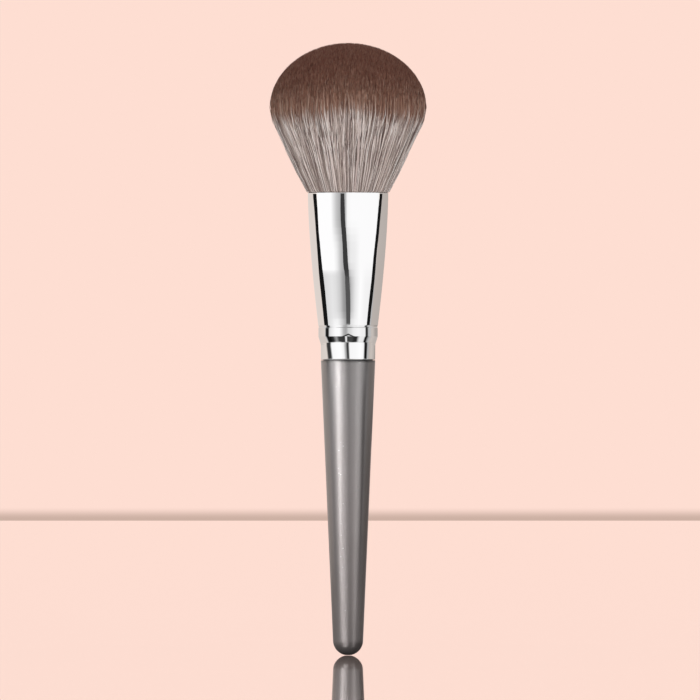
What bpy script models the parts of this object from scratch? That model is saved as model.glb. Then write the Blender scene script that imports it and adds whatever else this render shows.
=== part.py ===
"""A powder brush for loose and pressed face powder, standing on the end of its handle.

Units are metres, +Z is up and runs along the brush from the butt of the handle to the
crown of the fibre head. The origin is the centre of the small flat at the butt.

From the bottom up the brush is a turned wooden handle with a round tenon, a thin tapered
metal ferrule pressed over that tenon, and a domed head of fibres. Inside the ferrule the
fibre bundle is tied with thread, its roots are set in a plug of resin, and glue fills the
space between the tenon and the wall.
"""

import math

import bmesh
import bpy
import numpy as np

MM = 0.001

# Handle: a straight taper from the ferrule down to a rounded butt
HANDLE_LENGTH = 94.2 * MM
HANDLE_TOP_RADIUS = 8.62 * MM
BUTT_RADIUS = 4.75 * MM
REST_FLAT_RADIUS = 1.0 * MM
SHOULDER_EDGE = 0.25 * MM
TENON_RADIUS = 7.9 * MM
TENON_LENGTH = 21.0 * MM
TENON_CHAMFER = 0.8 * MM

# Ferrule: a thin spun tube with a crimped bead and a short band at its lower end
FERRULE_LENGTH = 53.3 * MM
FERRULE_MOUTH_RADIUS = 12.86 * MM
FERRULE_NECK_RADIUS = 9.5 * MM
FERRULE_WALL = 0.45 * MM
FERRULE_EDGE = 0.12 * MM
BAND_HEIGHT = 4.75 * MM
BAND_TOP_RADIUS = 8.96 * MM
BAND_BOTTOM_RADIUS = 8.76 * MM
BEAD_HEIGHT = 5.7 * MM
BEAD_RADIUS = 9.5 * MM
NECK_GROOVE_DEPTH = 0.26 * MM
BAND_GROOVE_DEPTH = 0.12 * MM
GROOVE_WIDTH = 0.5 * MM
# How fast the wall draws in towards the neck: 1 would be a straight cone
TAPER_CURVE_SHARE = 1.55
# Heights on the bead, as shares of its own height from the band up
BEAD_SHOULDER_SHARES = (0.5, 0.66)

# Fibre head: measured from the mouth of the ferrule up
HEAD_HEIGHT = 48.2 * MM
HEAD_RADIUS = 25.28 * MM
WIDEST_HEIGHT = 27.2 * MM
STRAND_COUNT = 360
STRAND_ROOT_RADIUS = 0.42 * MM
STRAND_FULL_RADIUS = 0.86 * MM
STRAND_TIP_RADIUS = 0.62 * MM
STRAND_ANCHOR = 1.0 * MM
# The knee of each strand, as a share of the widest height and of the spread reached there
KNEE_HEIGHT_SHARE = 0.7
KNEE_SPREAD_SHARE = 0.8
# The widest circle that a strand's middle may lie on, as a share of the packed circle
OUTER_STRAND_SHARE = 0.985

# Inside the ferrule: measured from the mouth down
PACKED_DEPTH = 16.0 * MM
TIE_DEPTH = 10.5 * MM
TIE_WIDTH = 2.4 * MM
TIE_WAIST = 1.1 * MM
GLUE_CAP = 1.2 * MM
GLUE_SKIRT = 8.0 * MM

# Clearance between neighbouring pieces
FIT = 0.3 * MM

# Vertices this close together are one vertex
WELD = 0.01 * MM
ROUND_STEPS = 48
BODY_POINTS = 11
BUTT_POINTS = 7
RIM_ANGLE = math.radians(70)
GOLDEN_ANGLE = math.pi * (3 - math.sqrt(5))

# Heights of the main joints above the butt
MOUTH = HANDLE_LENGTH + FIT + FERRULE_LENGTH
TENON_TOP = HANDLE_LENGTH + TENON_LENGTH
GLUE_TOP = TENON_TOP + FIT + GLUE_CAP
ROOTS = MOUTH - PACKED_DEPTH
NECK_DEPTH = FERRULE_LENGTH - BAND_HEIGHT - BEAD_HEIGHT


def start_empty():
    """Removes every object, so that the scene holds the brush alone."""
    for thing in list(bpy.data.objects):
        bpy.data.objects.remove(thing, do_unlink=True)


def new_collection(name):
    """Adds a collection to the scene."""
    group = bpy.data.collections.new(name)
    bpy.context.scene.collection.children.link(group)
    return group


def finish(name, colour, roughness, metallic):
    """Makes a plain material with one colour, roughness and metallic value."""
    material = bpy.data.materials.new(name)
    material.use_nodes = True
    shader = material.node_tree.nodes["Principled BSDF"]
    shader.inputs["Base Color"].default_value = (*colour, 1)
    shader.inputs["Roughness"].default_value = roughness
    shader.inputs["Metallic"].default_value = metallic
    return material


def turned(name, outline, closed, material, group):
    """Turns an outline of (radius, height) points about Z.

    The outline runs down its outer side. A closed one makes a ring; an open one starts
    and ends on the axis, or is the skin of a shell.
    """
    points = [(radius, 0, height) for radius, height in outline]
    edges = [(i, i + 1) for i in range(len(points) - 1)]
    if closed:
        edges.append((len(points) - 1, 0))
    mesh = bpy.data.meshes.new(name)
    mesh.from_pydata(points, edges, [])
    mesh.materials.append(material)
    piece = bpy.data.objects.new(name, mesh)
    group.objects.link(piece)
    screw = piece.modifiers.new("turn", "SCREW")
    screw.axis = "Z"
    screw.steps = ROUND_STEPS
    screw.render_steps = ROUND_STEPS
    screw.use_merge_vertices = True
    screw.merge_threshold = WELD
    screw.use_smooth_shade = True
    return piece


def ferrule_outline():
    """The ferrule's outer skin as (radius, height) points, from the mouth down."""
    draw_in = FERRULE_MOUTH_RADIUS - FERRULE_NECK_RADIUS
    outline = []
    for i in range(BODY_POINTS):
        share = i / (BODY_POINTS - 1)
        radius = FERRULE_MOUTH_RADIUS - draw_in * share**TAPER_CURVE_SHARE
        outline.append((radius, MOUTH - share * (NECK_DEPTH - GROOVE_WIDTH)))
    band_top = MOUTH - FERRULE_LENGTH + BAND_HEIGHT
    bead_top = band_top + BEAD_HEIGHT
    low_share, high_share = BEAD_SHOULDER_SHARES
    outline += [
        (FERRULE_NECK_RADIUS - NECK_GROOVE_DEPTH, bead_top),
        (BEAD_RADIUS - NECK_GROOVE_DEPTH / 2, bead_top - GROOVE_WIDTH),
        (BEAD_RADIUS, band_top + BEAD_HEIGHT * high_share),
        (BEAD_RADIUS, band_top + BEAD_HEIGHT * low_share),
        (BAND_TOP_RADIUS, band_top + GROOVE_WIDTH),
        (BAND_TOP_RADIUS - BAND_GROOVE_DEPTH, band_top),
        (BAND_TOP_RADIUS, band_top - GROOVE_WIDTH),
        (BAND_BOTTOM_RADIUS, band_top - BAND_HEIGHT),
    ]
    return outline


def bore_radius(height):
    """The radius of the ferrule's inner wall at a height."""
    outline = ferrule_outline()
    heights = [point[1] for point in reversed(outline)]
    radii = [point[0] for point in reversed(outline)]
    return float(np.interp(height, heights, radii)) - FERRULE_WALL


def inside_bore(low, high, count):
    """Points (radius, height) from high down to low that keep the fit to the bore."""
    heights = [high + (low - high) * i / (count - 1) for i in range(count)]
    return [(bore_radius(height) - FIT, height) for height in heights]


def make_handle(group):
    """The turned handle: a tenon, a shoulder, a straight taper and a round butt.

    The taper is the line from the shoulder that touches the butt's arc, and the arc stops
    where it meets the small flat that the brush is stood on.
    """
    arc_middle = math.sqrt(BUTT_RADIUS**2 - REST_FLAT_RADIUS**2)
    rise = HANDLE_LENGTH - SHOULDER_EDGE - arc_middle
    reach = math.hypot(rise, HANDLE_TOP_RADIUS)
    start = math.atan2(HANDLE_TOP_RADIUS, rise) + math.acos(BUTT_RADIUS / reach)
    stop = math.pi - math.asin(REST_FLAT_RADIUS / BUTT_RADIUS)
    outline = [
        (0, TENON_TOP),
        (TENON_RADIUS - TENON_CHAMFER, TENON_TOP),
        (TENON_RADIUS, TENON_TOP - TENON_CHAMFER),
        (TENON_RADIUS, HANDLE_LENGTH),
        (HANDLE_TOP_RADIUS - SHOULDER_EDGE, HANDLE_LENGTH),
        (HANDLE_TOP_RADIUS, HANDLE_LENGTH - SHOULDER_EDGE),
    ]
    for i in range(BUTT_POINTS):
        angle = start + (stop - start) * i / (BUTT_POINTS - 1)
        radius = BUTT_RADIUS * math.sin(angle)
        outline.append((radius, arc_middle + BUTT_RADIUS * math.cos(angle)))
    outline[-1] = (REST_FLAT_RADIUS, 0)
    outline.append((0, 0))
    lacquer = finish("grey_lacquer", (0.27, 0.25, 0.25), 0.3, 0.2)
    turned("handle", outline, False, lacquer, group)


def make_ferrule(group):
    """The ferrule: its outer skin turned, given a wall, and softened at its two rims."""
    chrome = finish("bright_chrome", (0.85, 0.85, 0.86), 0.06, 1.0)
    shell = turned("ferrule", ferrule_outline(), False, chrome, group)
    wall = shell.modifiers.new("wall", "SOLIDIFY")
    wall.thickness = FERRULE_WALL
    wall.offset = -1
    wall.use_even_offset = True
    rims = shell.modifiers.new("rims", "BEVEL")
    rims.width = FERRULE_EDGE
    rims.segments = 1
    rims.limit_method = "ANGLE"
    rims.angle_limit = RIM_ANGLE


def strand_places():
    """Places of the strands on a unit disc, one golden angle apart, evenly spread."""
    index = np.arange(STRAND_COUNT) + 0.5
    radius = np.sqrt(index / STRAND_COUNT)
    angle = index * GOLDEN_ANGLE
    return np.stack([radius * np.cos(angle), radius * np.sin(angle)], axis=1)


def strand_stations():
    """The levels that all strands share: height above the mouth, spread and thickness.

    The spread is the radius of the circle that a strand at the rim has its middle on.
    Every level is a scaled copy of the packed bundle, so no two strands can cross.
    """
    root = bore_radius(MOUTH) - FIT - STRAND_ROOT_RADIUS
    full = HEAD_RADIUS - STRAND_FULL_RADIUS / 2
    knee = root + (full - root) * KNEE_SPREAD_SHARE
    knee_height = WIDEST_HEIGHT * KNEE_HEIGHT_SHARE
    knee_width = STRAND_ROOT_RADIUS + (STRAND_FULL_RADIUS - STRAND_ROOT_RADIUS) * KNEE_SPREAD_SHARE
    slope = (knee - root) / knee_height
    return [
        (-STRAND_ANCHOR, root - STRAND_ANCHOR * slope, STRAND_ROOT_RADIUS),
        (knee_height, knee, knee_width),
        (WIDEST_HEIGHT, full, STRAND_FULL_RADIUS),
    ]


def strand_points(place, stations):
    """One strand's points as (x, y, z, radius), up to the dome of the head."""
    share = min(math.hypot(*place), OUTER_STRAND_SHARE)
    dome = HEAD_HEIGHT - WIDEST_HEIGHT
    tip = WIDEST_HEIGHT + dome * math.sqrt(1 - share**2)
    levels = stations + [(tip, stations[-1][1], STRAND_TIP_RADIUS)]
    return [
        (place[0] * spread, place[1] * spread, MOUTH + height, radius)
        for height, spread, radius in levels
    ]


def least_strand_gap(stations):
    """The least space between two strands' circles at the levels that all share."""
    places = strand_places()
    apart = np.linalg.norm(places[:, None] - places[None, :], axis=2)
    nearest = apart[apart > 0].min()
    return min(nearest * spread - 2 * radius for _, spread, radius in stations)


def make_section(group):
    """The three-sided outline, of radius 1, that every strand is swept along."""
    curve = bpy.data.curves.new("strand_section", "CURVE")
    curve.dimensions = "2D"
    spline = curve.splines.new("POLY")
    spline.points.add(2)
    for i, point in enumerate(spline.points):
        angle = math.tau * i / 3
        point.co = (math.cos(angle), math.sin(angle), 0, 1)
    spline.use_cyclic_u = True
    section = bpy.data.objects.new("strand_section", curve)
    group.objects.link(section)
    hide_guide(section)
    return section


def hide_guide(guide):
    """Marks a guide or cutter as no piece of the brush."""
    guide.hide_render = True
    guide.display_type = "WIRE"


def make_strands(group):
    """All strands as one mesh of separate closed bodies."""
    section = make_section(group)
    curve = bpy.data.curves.new("strand_curve", "CURVE")
    curve.dimensions = "3D"
    curve.bevel_mode = "OBJECT"
    curve.bevel_object = section
    curve.use_fill_caps = True
    stations = strand_stations()
    print("least gap between strands, mm:", round(least_strand_gap(stations) / MM, 3))
    for place in strand_places():
        points = strand_points(place, stations)
        spline = curve.splines.new("POLY")
        spline.points.add(len(points) - 1)
        for point, (x, y, z, radius) in zip(spline.points, points):
            point.co = (x, y, z, 1)
            point.radius = radius
    route = bpy.data.objects.new("strand_curve", curve)
    group.objects.link(route)
    evaluated = route.evaluated_get(bpy.context.evaluated_depsgraph_get())
    mesh = bpy.data.meshes.new_from_object(evaluated)
    body = bmesh.new()
    body.from_mesh(mesh)
    bmesh.ops.remove_doubles(body, verts=body.verts, dist=WELD)
    bmesh.ops.recalc_face_normals(body, faces=body.faces)
    body.to_mesh(mesh)
    body.free()
    strands = bpy.data.objects.new("strands", mesh)
    strands.matrix_world = route.matrix_world
    group.objects.link(strands)
    hide_guide(strands)
    bpy.data.objects.remove(route, do_unlink=True)
    return strands


def make_tuft(group, guides):
    """The fibre head: strands that grow from the bundle packed into the ferrule."""
    tie_top = MOUTH - TIE_DEPTH
    tie_bottom = tie_top - TIE_WIDTH
    outline = [(0, MOUTH)]
    outline += inside_bore(tie_top, MOUTH, 4)
    outline += [
        (bore_radius(tie_top) - FIT - TIE_WAIST, tie_top),
        (bore_radius(tie_bottom) - FIT - TIE_WAIST, tie_bottom),
    ]
    outline += inside_bore(ROOTS, tie_bottom, 2)
    outline += [(0, ROOTS)]
    fibre = finish("fibre", (0.18, 0.13, 0.11), 0.6, 0.0)
    tuft = turned("fibre_tuft", outline, False, fibre, group)
    union = tuft.modifiers.new("strands", "BOOLEAN")
    union.operation = "UNION"
    union.solver = "EXACT"
    union.object = make_strands(guides)


def make_thread(group):
    """The turns of thread that tie the bundle's waist, as one ring."""
    top = MOUTH - TIE_DEPTH - FIT
    bottom = MOUTH - TIE_DEPTH - TIE_WIDTH + FIT
    inner_top = bore_radius(MOUTH - TIE_DEPTH) - TIE_WAIST
    outer = inside_bore(bottom, top, 3)
    outline = outer + [(inner_top, bottom), (inner_top, top)]
    cotton = finish("thread", (0.75, 0.72, 0.66), 0.9, 0.0)
    turned("binding_thread", outline, True, cotton, group)


def make_plug(group):
    """The resin plug that the fibres' roots are set in, down to the glue on the tenon."""
    top = ROOTS - FIT
    bottom = GLUE_TOP + FIT
    outline = [(0, top)] + inside_bore(bottom, top, 5) + [(0, bottom)]
    resin = finish("resin", (0.62, 0.50, 0.28), 0.3, 0.0)
    turned("root_plug", outline, False, resin, group)


def make_glue(group):
    """The glue that fills the wall's taper round the tenon and caps the tenon's end."""
    bottom = GLUE_TOP - GLUE_SKIRT
    outline = [(0, GLUE_TOP)] + inside_bore(bottom, GLUE_TOP, 4)
    outline += [
        (TENON_RADIUS + FIT, bottom),
        (TENON_RADIUS + FIT, TENON_TOP - TENON_CHAMFER + FIT),
        (TENON_RADIUS - TENON_CHAMFER + FIT, TENON_TOP + FIT),
        (0, TENON_TOP + FIT),
    ]
    glue = finish("glue", (0.80, 0.76, 0.62), 0.4, 0.0)
    turned("tenon_glue", outline, False, glue, group)


def main():
    """Builds the brush, one piece at a time."""
    start_empty()
    pieces = new_collection("powder_brush")
    guides = new_collection("guides")
    make_handle(pieces)
    make_ferrule(pieces)
    make_tuft(pieces, guides)
    make_thread(pieces)
    make_plug(pieces)
    make_glue(pieces)


main()
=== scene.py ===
# %% [markdown]
# # A powder brush, dressed for its portrait
#
# The brush stands on the butt of its handle. The imported model gives six solids in one
# frame, in metres, with +Z along the brush. This notebook keeps that frame and dresses it:
# the handle gets lacquer, the ferrule gets chrome, and the fibre head, which the solids
# show as a few hundred thick strands, becomes fifty thousand fine ones.
#
# The model is loaded first, and its solids' boxes give the heights below.

# %% Load the frame
import math

import bpy
import mathutils
import numpy as np
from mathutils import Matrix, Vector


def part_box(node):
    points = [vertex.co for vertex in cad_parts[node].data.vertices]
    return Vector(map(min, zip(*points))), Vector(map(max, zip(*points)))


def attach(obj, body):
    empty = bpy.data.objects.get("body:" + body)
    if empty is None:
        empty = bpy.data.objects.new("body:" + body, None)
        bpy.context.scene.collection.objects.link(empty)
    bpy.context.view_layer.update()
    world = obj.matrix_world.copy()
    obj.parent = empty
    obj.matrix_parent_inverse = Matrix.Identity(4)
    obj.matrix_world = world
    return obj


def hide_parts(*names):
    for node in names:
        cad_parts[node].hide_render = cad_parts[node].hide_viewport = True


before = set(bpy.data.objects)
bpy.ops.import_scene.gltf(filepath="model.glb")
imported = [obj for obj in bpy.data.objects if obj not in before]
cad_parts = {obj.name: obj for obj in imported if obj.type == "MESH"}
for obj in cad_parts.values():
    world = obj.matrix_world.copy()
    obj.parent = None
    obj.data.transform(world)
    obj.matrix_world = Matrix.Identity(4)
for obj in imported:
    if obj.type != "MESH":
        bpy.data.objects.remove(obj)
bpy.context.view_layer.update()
print("nodes in the frame:", ", ".join(sorted(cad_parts)))

# %% [markdown]
# ## The heights that the pieces share
#
# All shapes below are worked out in millimetres and turned into metres when a mesh is
# made. The joints come from the solids' own boxes, so the dressed pieces sit exactly
# where the solids do: the butt at zero, the end of the ferrule, and its mouth.

# %% Heights of the joints
MM = 0.001


def ends(node):
    """The lowest and the highest height of a solid."""
    low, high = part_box(node)
    return low.z / MM, high.z / MM


FERRULE_END, MOUTH = ends("ferrule")
TENON_TOP = ends("handle")[1]
FIBRE_ROOTS, HEAD_TOP = ends("fibre_tuft")
HEAD_TOP -= MOUTH
TIE_LOW, TIE_HIGH = ends("binding_thread")
FIT = 0.3
HANDLE_TOP = FERRULE_END - 0.6 * FIT
print("ferrule from", round(FERRULE_END, 2), "to", round(MOUTH, 2), "mm")
print("head rises", round(HEAD_TOP, 2), "mm above the mouth")

# %% [markdown]
# ## Shader maths in plain expressions
#
# A procedural material is a sum of small steps: a noise, times a strength, plus a base.
# Adding Math nodes by hand hides that sum, so one small class wraps a socket and lets
# Python's operators add the nodes. Every other kind of node comes from one method,
# which sets the node's own settings first and its sockets after.


# %% The socket class
def operator(name, swapped=False):
    """A Wire's method that adds the Math node of this name."""

    def method(self, other):
        pair = (other, self) if swapped else (self, other)
        return self.finish.maths(name, *pair)

    return method


class Wire:
    """A socket whose operators add Math nodes to the material it belongs to."""

    __add__ = __radd__ = operator("ADD")
    __sub__, __rsub__ = operator("SUBTRACT"), operator("SUBTRACT", swapped=True)
    __mul__ = __rmul__ = operator("MULTIPLY")
    __truediv__ = operator("DIVIDE")
    __gt__, __lt__ = operator("GREATER_THAN"), operator("LESS_THAN")

    def __init__(self, finish, socket):
        self.finish, self.socket = finish, socket


class Finish:
    """A material that is built up node by node."""

    def __init__(self, name):
        self.material = bpy.data.materials.new(name)
        self.material.use_nodes = True
        self.tree = self.material.node_tree
        self.tree.nodes.clear()
        self.end = self.tree.nodes.new("ShaderNodeOutputMaterial")

    def node(self, kind, settings=None, values=None, output=0):
        """Adds a node: first its settings, then a value or a wire for each socket."""
        made = self.tree.nodes.new(kind)
        for key, value in (settings or {}).items():
            if key == "stops":
                set_stops(made.color_ramp, value)
            else:
                setattr(made, key, value)
        for key, value in (values or {}).items():
            socket = made.inputs[key]
            if isinstance(value, Wire):
                self.tree.links.new(value.socket, socket)
            else:
                socket.default_value = rgba(value) if socket.type == "RGBA" else value
        return Wire(self, made.outputs[output])

    def surface(self, shader):
        """Makes a shader the material's surface and returns the material."""
        self.tree.links.new(shader.socket, self.end.inputs["Surface"])
        print("finish", self.material.name, "has", len(self.tree.nodes), "nodes")
        return self.material

    def skin(self, colour, roughness, others):
        """Makes a Principled shader with these sockets the surface."""
        values = {"Base Color": colour, "Roughness": roughness, **others}
        return self.surface(self.node("ShaderNodeBsdfPrincipled", None, values))

    def glow(self, colour, strength=1.0):
        """Light of a colour, for the walls and cards of the studio."""
        values = {"Color": colour, "Strength": strength}
        return self.node("ShaderNodeEmission", None, values)

    def blend(self, factor, first, second):
        """The first shader where the factor is 0, and the second where it is 1."""
        return self.node("ShaderNodeMixShader", None, {0: factor, 1: first, 2: second})

    def maths(self, operation, first, second=0.0):
        """One Math node."""
        settings = {"operation": operation}
        return self.node("ShaderNodeMath", settings, {0: first, 1: second})

    def place(self):
        """The point in the object's own frame, in millimetres."""
        point = self.node("ShaderNodeTexCoord", output="Object")
        scale = {"operation": "SCALE"}
        return self.node("ShaderNodeVectorMath", scale, {0: point, "Scale": 1 / MM})

    def split(self, vector):
        """The three parts of a vector, as wires."""
        kind = "ShaderNodeSeparateXYZ"
        return [self.node(kind, None, {0: vector}, axis) for axis in range(3)]

    def noise(self, vector, scale, detail=2.0, roughness=0.5):
        """Soft noise from 0 to 1, with scale in bumps a millimetre."""
        values = {"Scale": scale, "Detail": detail, "Roughness": roughness}
        return self.node("ShaderNodeTexNoise", None, {"Vector": vector, **values})

    def stretch(self, vector, scales):
        """The vector with each part scaled, which draws a pattern out along an axis."""
        times = {"operation": "MULTIPLY"}
        return self.node("ShaderNodeVectorMath", times, {0: vector, 1: scales})

    def ramp(self, factor, stops):
        """A colour for each value of a factor; stops are (place, colour) pairs."""
        return self.node("ShaderNodeValToRGB", {"stops": stops}, {"Fac": factor})

    def step(self, value, low, high):
        """Rises smoothly from 0 at low to 1 at high."""
        settings = {"interpolation_type": "SMOOTHSTEP"}
        return self.node("ShaderNodeMapRange", settings, {0: value, 1: low, 2: high})

    def mix(self, factor, first, second, blend="MIX"):
        """Two colours blended by a factor."""
        settings = {"data_type": "RGBA", "blend_type": blend}
        return self.node("ShaderNodeMix", settings, {0: factor, 6: first, 7: second}, 2)

    def bump(self, height, strength, distance):
        """A normal from a height that is given in shares of a distance in millimetres."""
        values = {"Height": height, "Strength": strength, "Distance": distance * MM}
        return self.node("ShaderNodeBump", None, values)


def set_stops(ramp, stops):
    """Puts (place, colour) stops on a colour ramp."""
    while len(ramp.elements) < len(stops):
        ramp.elements.new(1.0)
    for element, (place, colour) in zip(ramp.elements, stops):
        element.position = place
        element.color = rgba(colour)


def rgba(colour):
    """A grey level or a colour of three parts, as four parts."""
    parts = (colour,) * 3 if isinstance(colour, (int, float)) else tuple(colour)
    return (*parts, 1.0)


def linear(level):
    """The linear value of a screen level from 0 to 255."""
    share = level / 255
    return share / 12.92 if share <= 0.04045 else ((share + 0.055) / 1.055) ** 2.4


def shade(red, green, blue):
    """The linear colour of three screen levels."""
    return (linear(red), linear(green), linear(blue))


# %% [markdown]
# ## Turned pieces
#
# The handle and the ferrule both come off a lathe: one outline, turned about the axis.
# Blender's Screw modifier could do it, but working the surface out as a grid of angle
# by height keeps full control of where the points sit. Chrome shows every facet, so each
# corner is rounded with a small curve and the long runs are cut into short steps.


# %% Helpers for outlines and lathes
def rounded(outline, size, steps=5):
    """Rounds the inner corners of a line of (radius, height) points.

    Each corner is replaced by a quadratic curve: (1-t) squared times the cut before it,
    plus 2t(1-t) times the corner, plus t squared times the cut after it.
    """
    corner = outline[1:-1]
    back = outline[:-2] - corner
    ahead = outline[2:] - corner
    long_back = np.linalg.norm(back, axis=1, keepdims=True)
    long_ahead = np.linalg.norm(ahead, axis=1, keepdims=True)
    cut = np.minimum(size, 0.45 * np.minimum(long_back, long_ahead))
    start = (corner + back / long_back * cut)[:, None]
    stop = (corner + ahead / long_ahead * cut)[:, None]
    t = np.linspace(0, 1, steps)[None, :, None]
    curve = (1 - t) ** 2 * start + 2 * t * (1 - t) * corner[:, None] + t**2 * stop
    return np.concatenate([outline[:1], curve.reshape(-1, 2), outline[-1:]])


def fine(outline, spacing):
    """The same line with extra points, so that no two lie further apart than spacing."""
    gaps = np.linalg.norm(np.diff(outline, axis=0), axis=1)
    run = np.concatenate([[0], np.cumsum(gaps)])
    places = np.union1d(np.round(run, 6), np.arange(0, run[-1], spacing))
    return np.stack([np.interp(places, run, outline[:, i]) for i in range(2)], axis=1)


def add_object(name, data):
    """Puts an object with this mesh, lamp or camera in the scene."""
    made = bpy.data.objects.new(name, data)
    bpy.context.scene.collection.objects.link(made)
    return made


def put_mesh(name, points, quads, triangles, uv=None):
    """Makes a smooth mesh object from arrays of points in mm and of corner numbers.

    uv holds one pair for each corner, quads first, in a map named OFBake.
    """
    mesh = bpy.data.meshes.new(name)
    corners = np.concatenate([quads.ravel(), triangles.ravel()]).astype(np.int32)
    first = np.concatenate(
        [np.arange(len(quads)) * 4, 4 * len(quads) + np.arange(len(triangles)) * 3]
    )
    mesh.vertices.add(len(points))
    mesh.vertices.foreach_set("co", (points * MM).astype(np.float32).ravel())
    mesh.loops.add(len(corners))
    mesh.loops.foreach_set("vertex_index", corners)
    mesh.polygons.add(len(first))
    mesh.polygons.foreach_set("loop_start", first.astype(np.int32))
    if uv is not None:
        layer = mesh.uv_layers.new(name="OFBake")
        layer.uv.foreach_set("vector", uv.astype(np.float32).ravel())
    mesh.update(calc_edges=True)
    mesh.shade_smooth()
    mesh.validate()
    return add_object(name, mesh)


def lathe(name, outline, steps, ring=False):
    """Turns (radius, height) points about Z: x = r sin(a), y = -r cos(a), z = height.

    A ring is a closed outline. Any other starts and ends on the axis, where all its
    points of one end are a single pole with a fan of triangles round it.
    """
    angle = np.linspace(0, math.tau, steps, endpoint=False)
    body = outline if ring else outline[1:-1]
    radius, height = body[:, :1], body[:, 1:]
    grid = np.stack(
        [radius * np.sin(angle), -radius * np.cos(angle), height + 0 * angle], axis=2
    )
    rows = np.arange(len(body) if ring else len(body) - 1)
    low = rows[:, None] * steps
    high = (rows[:, None] + 1) % len(body) * steps
    here = np.arange(steps)[None]
    there = (here + 1) % steps
    quads = np.stack([low + here, high + here, high + there, low + there], axis=2)
    points = grid.reshape(-1, 3)
    fans = np.empty((0, 3), int)
    if not ring:
        last = (len(body) - 1) * steps
        poles = [[0, 0, outline[0, 1]], [0, 0, outline[-1, 1]]]
        count = len(points)
        points = np.concatenate([points, poles])
        here, there = here[0], there[0]
        top = np.stack([here * 0 + count, here, there], axis=1)
        bottom = np.stack([here * 0 + count + 1, last + there, last + here], axis=1)
        fans = np.concatenate([top, bottom])
    return put_mesh(name, points, quads.reshape(-1, 4), fans)


def dress(piece, material, slot, *nodes):
    """Gives a piece its material and its place in the frame, and hides the solids it
    replaces.
    """
    piece.data.materials.append(material)
    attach(piece, "root")
    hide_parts(*nodes)
    faces = len(piece.data.polygons)
    triangles = len(piece.data.loops) - 2 * faces
    print(piece.name, "has", triangles, "triangles")
    return piece


# %% [markdown]
# ## Chrome
#
# The ferrule is plated brass: a mirror, a little grey, with almost no texture of its own.
# A perfect mirror looks like a drawing, though. Real plating has very fine marks round
# the tube from polishing and faint wipe marks, which only widen the reflections a touch.
# So the roughness carries a weak noise drawn out round the tube, and nothing else varies.


# %% Chrome finish
def chrome():
    """Polished plating with faint polishing marks."""
    finish = Finish("bright_chrome")
    place = finish.place()
    marks = finish.noise(finish.stretch(place, (0.35, 0.35, 6.0)), 1.0, 3)
    wipes = finish.noise(place, 0.09, 2)
    rough = 0.02 + 0.015 * finish.step(marks, 0.45, 0.75)
    rough = rough + 0.02 * finish.step(wipes, 0.4, 0.8)
    return finish.skin((0.93, 0.925, 0.93), rough, {"Metallic": 1.0})


# %% [markdown]
# ## The ferrule
#
# A thin tube, wide at the mouth and drawn in towards the handle on a slow curve. Below
# the neck a bead is rolled into it, which grips the tenon, then a plain band ends it.
# The outline runs down the outside, turns at the lower rim and comes back up inside one
# wall's thickness further in, so the tube is a closed shell with two soft rims.

# %% Ferrule
WALL = 0.45
MOUTH_RADIUS = 12.86
NECK_RADIUS = 9.5
BAND_TOP = FERRULE_END + 5.05
BEAD_TOP = BAND_TOP + 5.4
TAPER_CURVE = 1.55
BEAD_LINE = np.array(
    [
        (9.30, BEAD_TOP),
        (9.46, BEAD_TOP - 0.2),
        (9.48, BEAD_TOP - 0.8),
        (9.48, BEAD_TOP - 3.1),
        (8.76, BAND_TOP),
        (8.71, BAND_TOP - 0.4),
        (8.66, FERRULE_END),
    ]
)


def ferrule_outside(count=20):
    """The outer line: radius = mouth - draw-in x share^1.55, then the bead and the band."""
    share = np.linspace(0, 1, count)
    radius = MOUTH_RADIUS - (MOUTH_RADIUS - NECK_RADIUS) * share**TAPER_CURVE
    height = MOUTH - share * (MOUTH - BEAD_TOP - 0.4)
    return np.concatenate([np.stack([radius, height], axis=1), BEAD_LINE])


outside = ferrule_outside()
inside = outside[::-1] - (WALL, 0)
middle_of_rim = outside[:1] - (WALL / 2, 0)
loop = np.concatenate([middle_of_rim, outside, inside, middle_of_rim])
ferrule_line = fine(rounded(loop, 0.16, 4), 0.6)[:-1]
ferrule = lathe("chrome_ferrule", ferrule_line, 192, ring=True)
dress(ferrule, chrome(), "bright_chrome", "ferrule")

# %% [markdown]
# ## Lacquer
#
# The handle is sprayed grey with fine metal flakes under a clear coat. The flakes act
# like a blurred mirror: a broad soft highlight runs down each side and the edges go
# dark. Base metal with a middling roughness gives that, and a thin coat adds the crisp
# glint on top. The sparkle is painted glints: cells of noise pick a few bright specks,
# painted into the colour only at the compass angle of the streak of light, and they crowd
# in three bands of it. A painted shade darkens the handle's top just under the ferrule,
# more on the right. The grey is warmer towards the foot.


# %% Lacquer finish
FOOT_GREY = (0.268, 0.2435, 0.240)
TOP_GREY = (0.272, 0.2565, 0.2545)
GLINT_COLOUR = (0.95, 0.93, 0.9)
# Height and half width of each band of painted glints in mm, and how many more it has
GLINT_BANDS = ((33.0, 8.0, 0.13), (14.4, 2.6, 0.2), (4.2, 2.0, 0.2))
# The streak of painted glints: its compass angle in radians, and 1 / its half width
GLINT_ANGLE = -0.33
GLINT_NARROW = 5.5


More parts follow.
